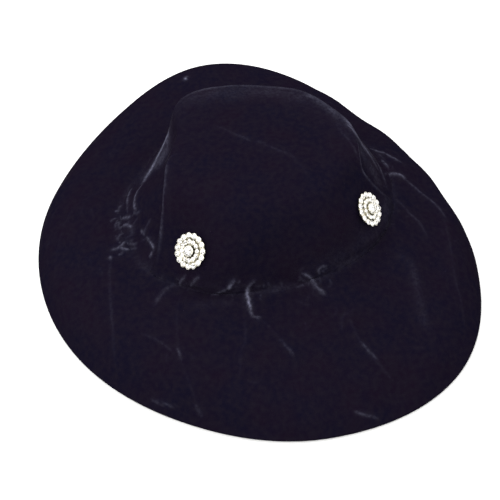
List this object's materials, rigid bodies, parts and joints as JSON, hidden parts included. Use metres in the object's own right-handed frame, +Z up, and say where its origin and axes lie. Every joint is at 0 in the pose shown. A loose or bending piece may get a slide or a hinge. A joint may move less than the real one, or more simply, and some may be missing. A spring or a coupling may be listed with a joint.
{
  "type": "velvet pancake hat",
  "caption": "Wide oval velvet hat with a shallow draped crown, pleated sides, a turned-down brim and round rhinestone clips; sits on a head or rests on its brim.",
  "frame": {"origin": "on the floor, under the middle of the brim", "axes": "+Z up, the front of the hat towards -Y, +X to the right as seen from the front"},
  "size_m": [0.2934, 0.325, 0.0763],
  "materials": {
    "velvet": "midnight velvet with a soft sheen",
    "rhinestone": "foiled rhinestones in bright metal"
  },
  "bodies": {
    "root": {"brim": "velvet", "crown": "velvet", "clip_left": "rhinestone", "clip_right": "rhinestone"}
  },
  "joints": []
}
